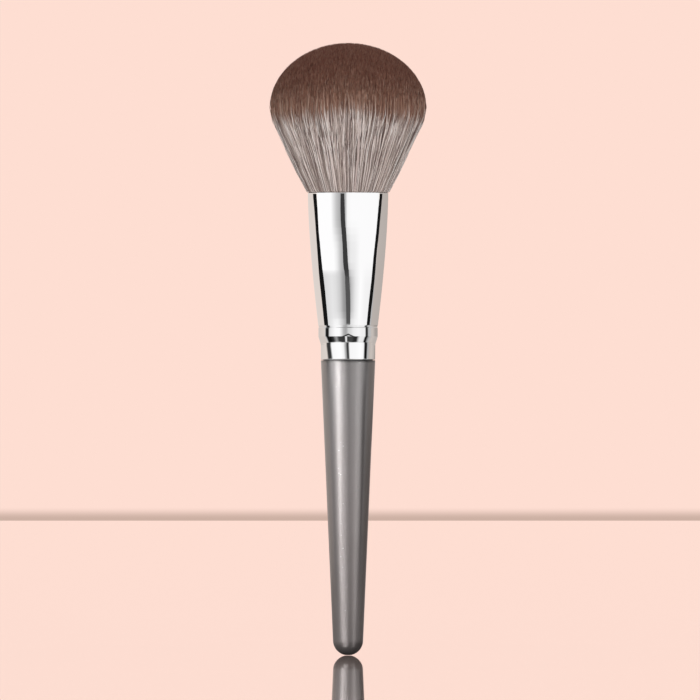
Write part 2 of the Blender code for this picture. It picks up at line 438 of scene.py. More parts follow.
def lacquer():
    """Grey metallic lacquer with flakes, painted glints and painted shade at its top."""
    finish = Finish("grey_lacquer")
    place = finish.place()
    flakes = finish.noise(place, 5.0, 2, 0.6)
    clouds = finish.noise(place, 0.12, 2)
    sizes = {"Vector": place, "Scale": 1.4}
    cells = finish.node("ShaderNodeTexVoronoi", None, sizes, "Distance")
    picks = finish.node("ShaderNodeTexVoronoi", None, sizes, "Color")
    chosen = finish.split(picks)[0] > 0.6
    x, y, height = finish.split(place)
    crowd = finish.noise(place, 0.16, 3)
    for middle, half, more in GLINT_BANDS:
        glint_band_offset = (height - middle) / half
        crowd = crowd + more * (1 - finish.step(glint_band_offset * glint_band_offset, 0.0, 1.0))
    crowd = finish.step(crowd, 0.5, 0.62)
    turn = finish.maths("ARCTAN2", x, 0 - y)
    aside = (turn - GLINT_ANGLE) * GLINT_NARROW
    # Painted glints: bright specks kept to the compass angle of the streak of light
    painted_glint = chosen * crowd * (1 - finish.step(cells, 0.12, 0.27)) * (aside * aside < 1)
    # Painted shade: the handle's top, just under the ferrule, is darkened, more on the
    # right
    joint_shade = finish.step(height, HANDLE_TOP - 1.0, HANDLE_TOP - 0.2)
    joint_shade = joint_shade * (0.3 + 0.35 * finish.step(turn, -0.5, 0.3))
    level = (0.84 + 0.2 * flakes + 0.12 * clouds) * (1 - joint_shade)
    tint = finish.mix(finish.step(height, 45.0, 95.0), FOOT_GREY, TOP_GREY)
    grey = finish.mix(1.0, tint, level, "MULTIPLY")
    colour = finish.mix(painted_glint * 0.62, grey, GLINT_COLOUR)
    coat = {"Metallic": 0.8, "Coat Weight": 0.35, "Coat Roughness": 0.05}
    relief = finish.bump(flakes, 0.25, 0.02)
    return finish.skin(colour, 0.26 + 0.08 * flakes, {**coat, "Normal": relief})


# %% [markdown]
# ## The handle
#
# A turned stick: a tenon that goes up inside the ferrule, a shoulder with a small
# softened edge, a straight taper, and a round butt with a flat just wide enough to stand
# on. The taper is the line from the shoulder that only touches the butt's circle, so the
# two meet without a crease.

# %% Handle
HANDLE_RADIUS = 8.70
BUTT_RADIUS = 4.82
REST_RADIUS = 1.0
TENON_RADIUS = 7.9
TENON_BEVEL = 0.8
EDGE = 0.12


def handle_line(count=28):
    """The handle's outline: angles run round the butt from the tangent to the flat."""
    centre = math.sqrt(BUTT_RADIUS**2 - REST_RADIUS**2)
    rise = HANDLE_TOP - EDGE - centre
    reach = math.hypot(rise, HANDLE_RADIUS)
    start = math.atan2(HANDLE_RADIUS, rise) + math.acos(BUTT_RADIUS / reach)
    stop = math.pi - math.asin(REST_RADIUS / BUTT_RADIUS)
    angle = np.linspace(start, stop, count)
    butt = BUTT_RADIUS * np.stack([np.sin(angle), np.cos(angle)], axis=1) + (0, centre)
    top = [
        (0, TENON_TOP),
        (TENON_RADIUS - TENON_BEVEL, TENON_TOP),
        (TENON_RADIUS, TENON_TOP - TENON_BEVEL),
        (TENON_RADIUS, HANDLE_TOP),
        (HANDLE_RADIUS - EDGE, HANDLE_TOP),
        (HANDLE_RADIUS, HANDLE_TOP - EDGE),
    ]
    butt[-1] = (REST_RADIUS, 0)
    return np.concatenate([top, butt, [(0, 0)]])


handle = lathe("lacquered_handle", fine(rounded(handle_line(), EDGE, 3), 0.7), 180)
dress(handle, lacquer(), "grey_lacquer", "handle")

# %% [markdown]
# ## Fibre colours
#
# The fibres are pale grey-brown and their tips are dyed dark brown. Each fibre carries
# its own map: across the map runs its tone, up the map runs its reach past the dye line.
# The colour depends on nothing else, so one small picture could hold the whole head. A
# ramp turns tone into the greys, mauves and creams of the base, a second one into the
# browns of the tips, and the dye line is where the first gives way to the second.

# %% Fibre finish
DYE_RANGE = 30.0
BASE_TONES = [
    (0.0, (0.200, 0.138, 0.122)),
    (0.2, (0.375, 0.285, 0.260)),
    (0.36, (0.555, 0.463, 0.408)),
    (0.5, (0.700, 0.572, 0.540)),
    (0.64, (0.815, 0.703, 0.643)),
    (0.8, (0.930, 0.825, 0.780)),
    (1.0, (0.985, 0.930, 0.895)),
]
TIP_TONES = [
    (0.0, (0.195, 0.090, 0.060)),
    (0.3, (0.287, 0.144, 0.098)),
    (0.5, (0.348, 0.181, 0.124)),
    (0.75, (0.405, 0.235, 0.168)),
    (1.0, (0.520, 0.358, 0.285)),
]
TIP_DEEPENING = (0.76, 0.59, 0.555)


def fibre_finish():
    """Two-tone fibre, coloured by its own map alone."""
    finish = Finish("two_tone_fibre")
    uv = finish.node("ShaderNodeUVMap", {"uv_map": "OFBake"})
    tone, dye, _ = finish.split(uv)
    past = (dye - 0.5) * (2 * DYE_RANGE)
    dyed = finish.step(past, -3.5, 2.1)
    base = finish.ramp(tone, BASE_TONES)
    deep = finish.mix(finish.step(past, 0.0, 16.0), 1.0, TIP_DEEPENING)
    tips = finish.mix(1.0, finish.ramp(tone, TIP_TONES), deep, "MULTIPLY")
    colour = finish.mix(dyed, base, tips)
    return finish.skin(colour, 0.42, {"Specular IOR Level": 0.35})


# %% [markdown]
# ## The fibre head
#
# A hair system would give the fibres in a moment, but they have to be real closed
# meshes, so every fibre is worked out as a thin three-sided spike. Fibres come in small
# tufts: a tuft's place on a sunflower spiral fills the round mouth evenly, its fibres lie
# scattered round it, and further up they lean together, as clean fibres do. The whole
# bundle spills over the rim, fans out, turns upright at its widest and ends on a dome.
#
# Every height is a scaled copy of the same disc of places. That keeps the fibres from
# crossing right through one another and keeps the outline as crisp as a trimmed brush.

# %% Shape of the head
# Height above the mouth and radius of the head's outline, in mm
OUTLINE = np.array(
    [(-2.0, 12.20), (0.0, 12.25), (0.06, 12.45), (0.4, 13.40), (3.5, 15.15), (6.7, 16.75)]
    + [(10.5, 18.62), (14.4, 20.42), (17.5, 21.85), (20.0, 23.12), (22.1, 24.18)]
    + [(24.6, 24.97), (27.2, 25.25), (60.0, 25.25)]
)
WIDEST = 27.2
TUFTS = 10000
FIBRES_A_TUFT = 5
LOCKS = 2700
FIBRE_RADIUS = 0.115
FIBRE_WIDTHS = np.array([0.5, 0.5, 0.6, 0.85, 0.95, 0.9, 0.85, 0.75])
DYE_REACH = 27.1
DYE_PEAK = 2.6
OUTER_SHARE = 0.74
TUFT_SCATTER, FIBRE_SCATTER = 0.25, 0.78
GOLDEN = math.pi * (3 - math.sqrt(5))
rng = np.random.default_rng(11)


def sunflower(count):
    """Even places on a unit disc: radius = sqrt(share), angle = index x golden angle."""
    index = np.arange(count) + 0.5
    radius = np.sqrt(index / count)
    angle = index * GOLDEN
    return radius[:, None] * np.stack([np.cos(angle), np.sin(angle)], axis=1)


def in_disc(shape):
    """Random places in a unit disc, as an array of pairs."""
    radius, angle = np.sqrt(rng.random(shape)), math.tau * rng.random(shape)
    return np.stack([radius * np.cos(angle), radius * np.sin(angle)], axis=-1)


def within(places, limit):
    """Draws places that lie outside a circle back onto it."""
    reach = np.linalg.norm(places, axis=-1, keepdims=True)
    return places * np.minimum(1, limit / np.maximum(reach, 1e-9))


cell = math.sqrt(math.pi / TUFTS)
tuft_place = within(sunflower(TUFTS) + TUFT_SCATTER * cell * in_disc(TUFTS), 0.995)
lock_cell = math.sqrt(math.pi / LOCKS)
lock_place = sunflower(LOCKS) + TUFT_SCATTER * lock_cell * in_disc(LOCKS)
lock_of = ((tuft_place[:, None] - lock_place) ** 2).sum(axis=2).argmin(axis=1)
in_lock = tuft_place - lock_place[lock_of]
offset = FIBRE_SCATTER * cell * in_disc((TUFTS, FIBRES_A_TUFT))
home = within(tuft_place[:, None] + offset, 1.0)
print("tufts:", TUFTS, "fibres:", home.shape[0] * home.shape[1])

# %% [markdown]
# The stations of a fibre are heights where it has a point: inside the mouth, on the rim
# where the bundle spills over, and then at fixed shares of its own height. Some tufts
# keep together as a lock. Locks, tufts and single fibres all sway a little on their way
# up, each in its own direction, and this is what breaks the regular fan into the streaks
# that a real head shows. The tip's height follows from where the sway has taken it, so
# the dome stays as crisp as a trimmed head.

# %% Paths of the fibres
FIRST_STATIONS = (-1.0, 0.06, 0.45)
RISES = np.array([0.22, 0.42, 0.62, 0.8])
LAST_STATION = 1.1
TRIM = 0.55
LEAN, LEAN_HEIGHT, LEAN_POWER = 0.5, 36.0, 0.6
LOCK_PULL = 0.15
FREE_HEIGHT = 14.0
UNEVEN = 0.055
# Who sways together, how far, and the shortest and longest wave, in mm
SWAYS = ((LOCKS, 0.4, 24, 40), (TUFTS, 0.19, 15, 24), (0, 0.15, 11, 18))


def head_paths():
    """Middles of all fibres, with one row a fibre and one column a station, in mm.

    A middle is the outline's radius at that height times (tuft place, drawn a little to
    its lock + what is left of the offset after the lean + three sine waves of sway), and
    the tip lies on the dome WIDEST + rise x sqrt(1 - place squared), less a small trim.
    """
    dome = HEAD_TOP - WIDEST
    trim = TRIM * rng.random(home.shape[:2]) ** 2

    def rises(place):
        """Heights of the stations of fibres that end at these places of the disc."""
        reach = np.minimum(np.linalg.norm(place, axis=-1), 1)
        tip = WIDEST + dome * np.sqrt(1 - reach**2) - trim
        low = np.broadcast_to(FIRST_STATIONS, (*tip.shape, len(FIRST_STATIONS)))
        tip = tip[..., None]
        return np.concatenate([low, tip * RISES, tip - LAST_STATION, tip], axis=2)

    def outline(height):
        """Radius of the disc of places at a height."""
        return np.interp(height, OUTLINE[:, 0], OUTLINE[:, 1]) - FIBRE_RADIUS

    height = rises(home)
    spread = outline(height)
    lean = LEAN * np.sin(np.pi * np.clip(height / LEAN_HEIGHT, 0, 1)) ** LEAN_POWER
    waves = np.zeros((*height.shape, 2))
    for count, high, short, long in SWAYS:
        shape = (TUFTS, 1, 1, 2) if count else (TUFTS, FIBRES_A_TUFT, 1, 2)
        phase, wave = math.tau * rng.random(shape), rng.uniform(short, long, shape)
        if count == LOCKS:
            phase, wave = phase[lock_of], wave[lock_of]
        waves += high * np.sin(height[..., None] * math.tau / wave + phase)
    sway = np.clip(height / FREE_HEIGHT, 0, 1)
    place = tuft_place - LOCK_PULL * in_lock
    place = place[:, None, None] + offset[:, :, None] * (1 - lean[..., None])
    limit = 1 - UNEVEN * rng.random((TUFTS, FIBRES_A_TUFT, 1, 1))
    place = within(place + waves * (sway / spread)[..., None], limit)
    height = rises(place[:, :, -1])
    flat = place * outline(height)[..., None]
    middle = np.concatenate([flat, height[..., None] + MOUTH], axis=3)
    return middle.reshape(-1, middle.shape[2], 3)


paths = head_paths()
stations = paths.shape[1]
print("stations:", stations, "highest tip, mm:", round(float(paths[..., 2].max()), 2))

# %% [markdown]
# A lock is painted lightest along its middle and dark at its two flanks: painted light
# on the crest and painted shade between the locks, stronger on locks at the left and
# right of the head. Each tuft and fibre adds a chance part, so light and dark run side by
# side in narrow streaks. The dye line follows the length of the fibre, since a head is
# dyed by dipping it. It is a little higher in front and at the far sides, and each fibre
# takes the dye a little differently.

# %% Tones and the dye line
LOCK_PAINTED_SHADE, TUFT_TONE, OWN_TONE = 0.27, 0.12, 0.26
STRONGER_AT_SIDES = 0.4
TUFT_CHANCE, OWN_CHANCE = 0.6, 1.1
DYE_PEAK_WIDTH = 0.38
SIDE_RISE, SIDE_STARTS, SIDE_SPAN = 0.9, 1.1, 0.4
own_lock = lock_place[lock_of]
lock_way = own_lock / np.linalg.norm(own_lock, axis=1, keepdims=True)
from_lock = home - own_lock[:, None]
beside = from_lock[..., 1] * lock_way[:, :1] - from_lock[..., 0] * lock_way[:, 1:]
# Painted light and shade: a lock's middle is lighter and its flanks darker
lock_painted_shade = LOCK_PAINTED_SHADE * np.cos(math.tau * np.clip(beside / lock_cell, -0.5, 0.5))
lock_painted_shade *= 1 + STRONGER_AT_SIDES * lock_way[:, :1] ** 2
tuft_tone = TUFT_TONE * rng.standard_normal((TUFTS, 1))
own_tone = OWN_TONE * rng.standard_normal((TUFTS, FIBRES_A_TUFT))
tone = np.clip(0.5 + lock_painted_shade + tuft_tone + own_tone, 0.02, 0.96).ravel()
steps_up = np.linalg.norm(np.diff(paths, axis=1), axis=2)
length = np.cumsum(steps_up, axis=1)
length = np.concatenate([np.zeros((len(paths), 1)), length], axis=1) - 1
heading = np.arctan2(paths[:, 3, 0], -paths[:, 3, 1])
chance = TUFT_CHANCE * rng.standard_normal((TUFTS, 1))
chance = chance + OWN_CHANCE * rng.standard_normal((TUFTS, FIBRES_A_TUFT))
peak = DYE_PEAK * np.exp(-((heading / DYE_PEAK_WIDTH) ** 2))
dye_line = DYE_REACH + peak + chance.ravel()
dye_line += SIDE_RISE * np.clip((np.abs(heading) - SIDE_STARTS) / SIDE_SPAN, 0, 1)
dye = 0.5 + (length - dye_line[:, None]) / (2 * DYE_RANGE)
print("tone from", round(tone.min(), 2), "to", round(tone.max(), 2))
print("dye map from", round(dye.min(), 2), "to", round(dye.max(), 2))

# %% [markdown]
# Each fibre is a ring of three points at every station and one point at the tip. The
# rings stand square to the fibre, and smooth shading makes three sides look round. All
# fibres share the same pattern of faces, so one small table of corner numbers plus the
# fibre's first point number gives the faces of them all. The outer fibres make eight
# wedges. The inner ones, which are hardly seen, have fewer stations and make four.


# %% Fibre meshes
def spikes(middle, widths, tones, dyes):
    """Three-sided closed spikes round lines of middles.

    A ring is middle + radius x (cos(a) side + sin(a) front), for three angles a. The
    side is square to the fibre's direction, and the front to both.
    """
    count, levels = middle.shape[:2]
    along = np.gradient(middle, axis=1)
    along /= np.linalg.norm(along, axis=2, keepdims=True)
    turn = math.tau * rng.random(count)
    flat = np.stack([np.cos(turn), np.sin(turn), 0 * turn], axis=1)[:, None]
    side = np.cross(along, flat)
    side /= np.linalg.norm(side, axis=2, keepdims=True)
    front = np.cross(along, side)
    radius = (FIBRE_RADIUS * widths)[:, None, None]
    a = (math.tau * np.arange(3) / 3)[:, None]
    start, side, front = (part[:, :-1, None] for part in (middle, side, front))
    ring = start + radius * np.cos(a) * side + radius * np.sin(a) * front
    points = np.concatenate([ring.reshape(count, -1, 3), middle[:, -1:]], axis=1)
    each = points.shape[1]
    k, j = np.meshgrid(np.arange(3), np.arange(levels - 2))
    here, there = (3 * j + k).ravel(), (3 * j + (k + 1) % 3).ravel()
    quad = np.stack([here, there, there + 3, here + 3], axis=1)
    end, last = each - 1, each - 4
    cone = np.array([(last + i, last + (i + 1) % 3, end) for i in range(3)])
    floor = np.array([(2, 1, 0)])
    triangle = np.concatenate([cone, floor])
    base = each * np.arange(count)[:, None, None]
    return (
        points.reshape(-1, 3),
        (quad + base).reshape(-1, 4),
        (triangle + base).reshape(-1, 3),
        spike_map(tones, dyes, j.ravel()),
    )


def spike_map(tones, dyes, level):
    """The map of all spikes: tone -+ a hair's breadth across, dye up, one pair a corner."""
    width = 0.012

    def corners(shift, levels, below=0.0):
        """Pairs at tone + shift x width and at a level's dye less below x width."""
        across = tones[:, None] + width * np.array(shift)
        up = dyes[:, levels] - width * np.array(below)
        return np.stack([across, up], axis=2).reshape(-1, 2)

    around = (level[:, None] + [0, 0, 1, 1]).ravel()
    quads = corners([-1, 1, 1, -1] * len(level), around)
    triangles = corners([-1, 1, 0] * 4, [-2, -2, -1] * 3 + [0] * 3, [0] * 11 + [1])
    return np.concatenate([quads, triangles])


fibre = fibre_finish()
outer = np.linalg.norm(home, axis=2).ravel() > OUTER_SHARE
every = np.arange(stations)
few = np.array([0, 5, 7, 8])
rings = (("fibre_wedge", outer, 8, every), ("fibre_core", ~outer, 4, few))
head = []
for name, members, count, kept in rings:
    wedge_of = ((heading / math.tau + 0.5) * count).astype(int).clip(0, count - 1)
    for wedge in range(count):
        chosen = members & (wedge_of == wedge)
        middle, dyes = paths[chosen][:, kept], dye[chosen][:, kept]
        parts = spikes(middle, FIBRE_WIDTHS[kept[:-1]], tone[chosen], dyes)
        piece = put_mesh(f"{name}_{wedge + 1}", *parts)
        head.append(dress(piece, fibre, "two_tone_fibre", "fibre_tuft"))

# %% [markdown]
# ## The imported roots
#
# Inside the ferrule the fibres are pressed into a solid bundle, tied at its waist. It is
# hidden, apart from a glimpse between fibres at the mouth, so one turned form with the
# same waist as the solid does. Its outline keeps a small fit to the bore all the way.


# %% Roots
WAIST = 1.1


def bore(height):
    """The radius of the ferrule's inner wall at a height."""
    return np.interp(height, outside[::-1, 1], outside[::-1, 0]) - WALL


def roots_finish():
    """Packed fibre: fine streaks along the bundle, from a noise drawn out upwards."""
    finish = Finish("packed_fibre")
    streaks = finish.noise(finish.stretch(finish.place(), (3.0, 3.0, 0.08)), 1.0, 3)
    tones = [(0.3, (0.10, 0.08, 0.07)), (0.7, (0.32, 0.27, 0.25))]
    colour = finish.ramp(streaks, tones)
    relief = finish.bump(streaks, 0.5, 0.1)
    return finish.skin(colour, 0.7, {"Normal": relief})


tie = np.array([TIE_HIGH + FIT, TIE_LOW - FIT])
upper = np.linspace(MOUTH, tie[0], 5)
lower = np.linspace(tie[1], FIBRE_ROOTS, 3)
heights = np.concatenate([upper, tie, lower])
waist = np.concatenate([0 * upper, 0 * tie + WAIST, 0 * lower])
roots_line = np.stack([bore(heights) - FIT - waist, heights], axis=1)
roots_line = np.concatenate([[(0, MOUTH)], roots_line, [(0, FIBRE_ROOTS)]])
roots = lathe("packed_roots", fine(rounded(roots_line, 0.1, 3), 0.8), 96)
dress(roots, roots_finish(), "two_tone_fibre", "fibre_tuft")

# %% [markdown]
# ## Thread, resin and glue
#
# Three pieces are never seen unless the brush is taken apart. Their solids already have
# the right shape, so they stay and only get a finish: wound thread with its turns as
# ridges, amber resin with a few clouds, and pale glue with a slightly uneven skin.


# %% Hidden finishes
def thread_finish():
    """Wound thread: the turns are a wave along the axis, broken up by a fine noise."""
    finish = Finish("wound_thread")
    place = finish.place()
    height = finish.split(place)[2]
    wave = finish.maths("SINE", height * (math.tau / 0.3))
    fuzz = finish.noise(place, 4.0, 3)
    tones = [(0, 0.42), (1, (0.78, 0.75, 0.69))]
    # Painted shade: the colour follows the ridges' wave, darker between the turns
    colour = finish.ramp(0.5 + 0.3 * wave + 0.3 * (fuzz - 0.5), tones)
    relief = finish.bump(wave, 0.6, 0.1)
    return finish.skin(colour, 0.9, {"Normal": relief})


def set_finish(name, pale, deep, roughness):
    """Set resin or glue: two shades in soft clouds, with a faintly uneven skin."""
    finish = Finish(name)
    place = finish.place()
    clouds = finish.noise(place, 0.25, 3)
    skin = finish.noise(place, 1.2, 2)
    colour = finish.mix(clouds, pale, deep)
    relief = finish.bump(skin, 0.3, 0.1)
    return finish.skin(colour, roughness + 0.1 * skin, {"Normal": relief})


hidden = {
    "binding_thread": thread_finish(),
    "root_plug": set_finish("set_resin", (0.68, 0.54, 0.30), (0.50, 0.36, 0.16), 0.2),
    "tenon_glue": set_finish("set_glue", (0.82, 0.78, 0.66), (0.70, 0.64, 0.48), 0.35),
}
for name, material in hidden.items():
    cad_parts[name].data.materials.clear()
    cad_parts[name].data.materials.append(material)
    print(name, "is finished as", material.name)

# %% [markdown]
# ## Floor and backdrop
#
# The brush stands on a pale glossy sheet in front of a wall of the same peach. Seen
# almost edge-on the sheet mirrors the butt of the handle, and from above it is matt, so a
# mirror is blended in by how glancing the look is. Near the brush a painted peach glow is
# mixed into the mirror, which lightens the mirrored butt. For the lacquer there is a
# painted shade on the sheet, a dim patch beside the butt. The wall shows a painted shade,
# a soft brown line at its foot, and a view from behind looks straight through it.

# %% Floor and backdrop
PEACH = shade(254, 222, 210)
FOOT_SHADE = shade(205, 177, 164)
DULL = (0.50, 0.475, 0.465)
PAINTED_SHADE_GREY = (0.16, 0.15, 0.145)
# Where the painted shade lies beside the butt, and the radii between which it ends, in mm
DIM_MIDDLE, DIM_INNER, DIM_OUTER = 20.0, 17.0, 42.0
# The share of painted peach glow in the mirror, and the radii between which it ends, in mm
PAINTED_GLOW_SHARE, PAINTED_GLOW_INNER, PAINTED_GLOW_OUTER = 0.045, 70.0, 140.0
MIRROR_SHARE = 0.985
WALL_FAR = 1963.5
SIDE = 4000.0
SHEET = -0.1


def from_camera(finish):
    """1 for rays that come straight from the camera, and 0 for all others."""
    return finish.node("ShaderNodeLightPath", output="Is Camera Ray")


def beyond(finish, x, y, inner, outer):
    """Rises from 0 within one distance of a point to 1 beyond another."""
    return finish.step(x * x + y * y, inner**2, outer**2)


def unsampled(material):
    """A glow that is found by the rays that hit it, which suits a large soft source."""
    material.cycles.emission_sampling = "NONE"
    return material


def one_sided(finish, glow, back=False):
    """A glow on the front or the back of its faces, and clear on the other side."""
    clear = finish.node("ShaderNodeBsdfTransparent")
    behind = finish.node("ShaderNodeNewGeometry", output="Backfacing")
    looks = (clear, glow) if back else (glow, clear)
    return unsampled(finish.surface(finish.blend(behind, *looks)))


def stage_mesh(name, points, quads, material):
    """A plain stage mesh in mm."""
    no_triangles = np.empty((0, 3), int)
    piece = put_mesh(name, np.array(points, float), np.array(quads), no_triangles)
    piece.data.materials.append(material)
    print("stage piece", name, "has", len(quads), "faces")
    return piece


def hide(piece, *rays):
    """Keeps kinds of rays from seeing a piece of the stage."""
    for ray in rays:
        setattr(piece, "visible_" + ray, False)


def floor_finish():
    """A pale sheet with a soft mirror, a painted glow near the brush and a painted shade.
    """
    finish = Finish("pale_sheet")
    x, y, _ = finish.split(finish.place())
    # Painted shade: a dim patch beside the butt, for all rays but the camera's
    away = beyond(finish, x - DIM_MIDDLE, y, DIM_INNER, DIM_OUTER)
    lit = finish.mix(away, PAINTED_SHADE_GREY, DULL)
    colour = finish.mix(from_camera(finish), lit, PEACH)
    matt = finish.node("ShaderNodeBsdfDiffuse", None, {"Color": colour})
    mirror = finish.node("ShaderNodeBsdfGlossy", None, {"Color": 1.0, "Roughness": 0.03})
    # Painted light: a peach glow mixed into the mirror near the brush
    near = 1 - beyond(finish, x, y, PAINTED_GLOW_INNER, PAINTED_GLOW_OUTER)
    mirror = finish.blend(PAINTED_GLOW_SHARE * near, mirror, finish.glow(PEACH))
    facing = finish.node("ShaderNodeLayerWeight", None, {"Blend": 0.5}, "Facing")
    share = MIRROR_SHARE * finish.step(facing, 0.82, 0.965) * from_camera(finish)
    return finish.surface(finish.blend(share, matt, mirror))


def backdrop_finish():
    """Peach, one-sided, with a painted shade at its foot that only the camera sees."""
    finish = Finish("peach_wall")
    height = finish.split(finish.place())[2]
    seen = from_camera(finish)
    # Painted shade: a brown line at the wall's foot, for camera rays alone
    colour = finish.mix(finish.step(height, 1.0, 8.0) * seen + 1 - seen, FOOT_SHADE, PEACH)
    return one_sided(finish, finish.glow(colour))


corners = [(-SIDE, -SIDE, SHEET), (SIDE, -SIDE, SHEET), (SIDE, WALL_FAR, SHEET)]
corners += [(-SIDE, WALL_FAR, SHEET), (SIDE, WALL_FAR, SIDE), (-SIDE, WALL_FAR, SIDE)]
floor = stage_mesh("floor", corners[:4], [(0, 1, 2, 3)], floor_finish())
hide(floor, "shadow")
stage_mesh("backdrop", corners[2:], [(1, 0, 2, 3)], backdrop_finish())
print("backdrop stands", WALL_FAR, "mm behind the brush")

# %% [markdown]
# ## The light tent
#
# Chrome has no colour of its own: what it shows is the studio. So the brush stands in a
# tent, a white wall bent round it, which the camera looks through. At the back it starts
# a little higher, so that the sheet mirrors the wall of the room below it. White panels
# fill the front, the wall is greyer round the sides, and dark strips between the panels
# draw the thin dark lines that run down the metal. The tent is about as bright as its
# surface looks, so colours come out as they are written, and past its sides it has the
# warm tint of the peach room.
#
# The wall's brightness goes by the compass angle from the camera side and by height. Four
# ramps hold the levels at four heights. The lower two lie below a step that rises towards
# the sides.

# %% Tent
TENT_RADIUS = 360.0
TENT_TOP = 470.0
TENT_RAISED = 60.0
TENT_SWEEP = 150.0
TENT_HALF = 180.0
TENT_LEVEL = 1.085
WHOLE = (-TENT_HALF, TENT_HALF)
WARM = (1.075, 0.975, 0.905)


def share_round(angle):
    """The share of the way round, from 0 at -180 degrees to 1 at 180."""
    return (angle / TENT_HALF + 1) * 0.5


def levels(pairs):
    """Ramp stops from (compass angle, screen level) pairs."""
    return [(share_round(angle), linear(level)) for angle, level in pairs]


TENT_HIGH = levels(
    [(-176, 212), (-106, 212), (-104, 253), (-50, 253), (-45, 236), (-34, 198), (-22, 168)]
    + [(-8, 170), (-2, 246), (10, 251), (90, 250), (101, 243), (103, 178), (166, 172)]
    + [(176, 110)]
)
TENT_MIDDLE = levels(
    [(-176, 212), (-106, 212), (-104, 253), (-45, 253), (-35, 236), (-23, 194), (-12, 164)]
    + [(-1, 210), (8, 233), (22, 237), (37, 250), (80, 250), (97, 240), (99, 178)]
    + [(166, 172), (176, 110)]
)
TENT_LOWEST = levels(
    [(-176, 205), (-108, 205), (-104, 225), (-80, 232), (-64, 240), (-52, 252), (-40, 250)]
    + [(-30, 232), (-17, 195), (-8, 160), (4, 170), (11, 225), (28, 245), (42, 250)]
    + [(90, 240), (93, 116), (176, 104)]
)
TENT_LOW = levels(
    [(-176, 212), (-108, 212), (-106, 208), (-79, 219), (-56, 229), (-42, 222), (-28, 203)]
    + [(-17, 160), (-8, 140), (4, 140), (11, 192), (25, 231), (42, 253), (60, 243)]
    + [(93, 238), (95, 178), (166, 172), (176, 110)]
)


def compass(finish):
    """Compass angle in degrees from the camera side, towards +X, and height in mm."""
    x, y, z = finish.split(finish.place())
    return finish.maths("ARCTAN2", x, 0 - y) * (180 / math.pi), z


def warmed(finish, colour, angle, start):
    """Tints a look from a compass angle outwards, where the peach room tells."""
    far = finish.step(angle * angle, start**2, (start + 7.0) ** 2)
    return finish.mix(far, colour, WARM, "MULTIPLY")


def tent_finish():
    """Glow of the tent: ramps round the compass, blended by height.

    The step lies at 61 mm + 13.5 mm x (angle / 75 degrees) squared, and the lowest ramp
    ends 20 to 32 mm up, plus 12 mm x the same square.
    """
    finish = Finish("tent_wall")
    angle, height = compass(finish)
    share = share_round(angle)
    tables = (TENT_HIGH, TENT_MIDDLE, TENT_LOW, TENT_LOWEST)
    high, middle, low, lowest = (finish.ramp(share, stops) for stops in tables)
    upper = finish.mix(finish.step(height, 80.0, 112.0), middle, high)
    square = (angle / 75.0) * (angle / 75.0)
    soft = 1.5 + 9.0 * (angle > 0.0)
    above = height - 61.0 - 13.5 * square
    shown = finish.step(above / soft, -1.0, 1.0)
    foot = finish.step(height - 12.0 * square, 20.0, 32.0)
    colour = finish.mix(shown, finish.mix(foot, lowest, low), upper)
    colour = warmed(finish, colour, angle, 96.0)
    return unsampled(finish.surface(finish.glow(colour, TENT_LEVEL)))


def bent_wall(name, heights, starts, stops, radii, parts, material):
    """A strip of a drum: angle runs from start to stop at each height, in degrees.

    With one height twice and two radii it is a flat ring.
    """
    share = np.linspace(0, 1, parts + 1)
    rows = (heights, starts, stops, radii)
    tall, first, last, radius = (row[:, None] for row in np.broadcast_arrays(*rows))
    angle = np.radians(first + (last - first) * share)
    flat = [radius * np.sin(angle), -radius * np.cos(angle)]
    grid = np.stack([*flat, tall + 0 * angle], axis=2)
    j, i = np.meshgrid(np.arange(len(heights) - 1), np.arange(parts), indexing="ij")
    corner = (j * (parts + 1) + i).ravel()
    quads = np.stack([corner, corner + 1, corner + parts + 2, corner + parts + 1], axis=1)
    return stage_mesh(name, grid.reshape(-1, 3), quads, material)


tent_glow = tent_finish()
for name, start, stop, raised, parts in (
    ("tent_wall", -TENT_SWEEP, TENT_SWEEP, 0.0, 90),
    ("tent_left", -TENT_HALF, -TENT_SWEEP, TENT_RAISED, 12),
    ("tent_right", TENT_SWEEP, TENT_HALF, TENT_RAISED, 12),
):
    span = [raised, TENT_TOP + raised]
    wall = bent_wall(name, span, start, stop, TENT_RADIUS, parts, tent_glow)
    hide(wall, "camera", "diffuse", "shadow")

# %% [markdown]
# ### Fill light
#
# The fibres are matt, so for them a second wall takes the tent's place, and mirrors don't
# see it. It is brightest in front and falls off towards the sides, which rounds the head.
# A second bright part at the back keeps that side from going dark.

# %% Fill
FILL_LEVELS = [(-180, 1.1), (-155, 0.6), (-135, 0.08), (-90, 0.1), (-50, 0.4), (0, 1.3)]
FILL_LEVELS += [(50, 0.42), (90, 0.13), (135, 0.08), (155, 0.6), (180, 1.1)]


def fill_finish():
    """Glow that goes by the compass angle alone."""
    finish = Finish("fill_wall")
    angle, _ = compass(finish)
    stops = [(share_round(turn), level) for turn, level in FILL_LEVELS]
    colour = finish.ramp(share_round(angle), stops)
    return unsampled(finish.surface(finish.glow(colour)))


fill = bent_wall("fill_wall", [0, TENT_TOP], *WHOLE, TENT_RADIUS + 5, 90, fill_finish())
hide(fill, "camera", "glossy", "shadow")

# %% [markdown]
# ### Dark strips
#
# Dark strips hang between the tent and the brush, and only mirrors see them. Three draw
# the lines on the metal. Each is given by its two edges at a few heights, because the
# lines lean and swell, and the middle one turns greyer lower down. Two more hang beside
# the handle and darken its edges. They end above the sheet, which would mirror them.

# %% Dark strips
STRIP_RADIUS = 100.0
